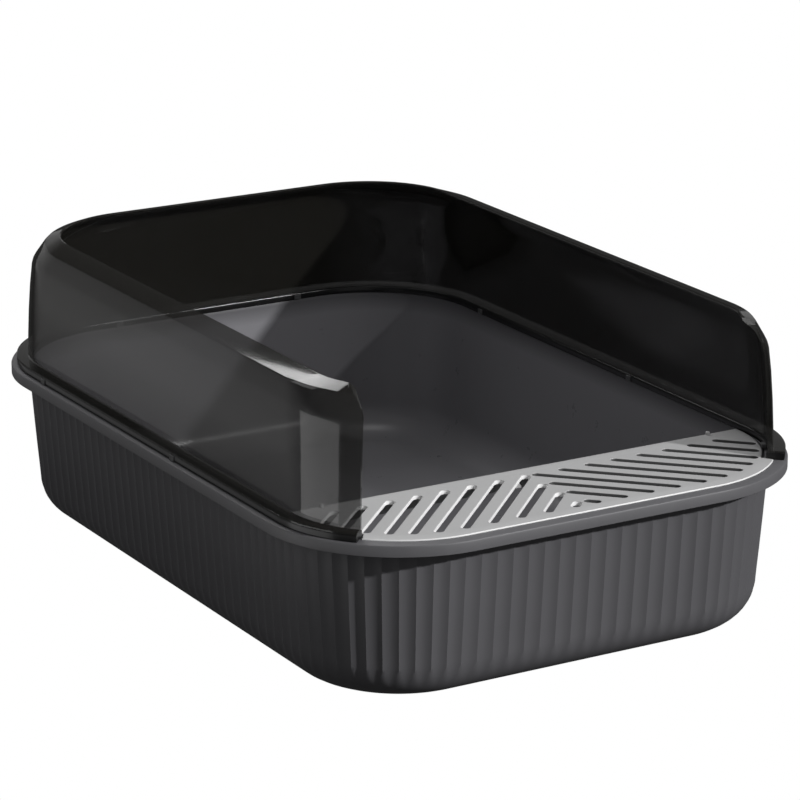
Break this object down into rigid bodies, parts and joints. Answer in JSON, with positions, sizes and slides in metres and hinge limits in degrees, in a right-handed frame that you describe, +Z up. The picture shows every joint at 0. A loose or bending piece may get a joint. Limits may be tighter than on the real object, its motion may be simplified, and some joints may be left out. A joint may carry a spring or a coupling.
{
  "type": "cat litter box with splash hood",
  "caption": "Deep rounded litter tray with a slotted front step plate and a U-shaped smoked splash hood, open at the top and front, on a clipped base band.",
  "frame": {"origin": "middle of the tray's flat underside", "axes": "+Z up, -Y towards the open front with the step plate, +X to the right seen from behind the front edge looking in"},
  "size_m": [0.4, 0.58, 0.2187],
  "materials": {
    "tray_plastic": "fine satin",
    "plate_plastic": "satin",
    "smoked_plastic": "polished translucent",
    "band_plastic": "polished opaque",
    "clip_plastic": "satin"
  },
  "bodies": {
    "tray": {"litter_pan": "tray_plastic"},
    "plate": {"step_plate": "plate_plastic"},
    "hood": {"hood_shell": "smoked_plastic", "hood_base_band": "band_plastic", "clip_left_rear": "clip_plastic", "clip_left_side": "clip_plastic", "clip_left_corner": "clip_plastic", "clip_right_rear": "clip_plastic", "clip_right_side": "clip_plastic", "clip_right_corner": "clip_plastic", "clip_back_left": "clip_plastic", "clip_back_right": "clip_plastic"}
  },
  "joints": [
    {"name": "hood_lift", "type": "slide", "parent": "tray", "child": "hood", "axis": [0, 0, 1], "range_m": [0, 0.2]},
    {"name": "step_plate_lift", "type": "slide", "parent": "tray", "child": "plate", "axis": [0, 0, 1], "range_m": [0, 0.04]}
  ]
}
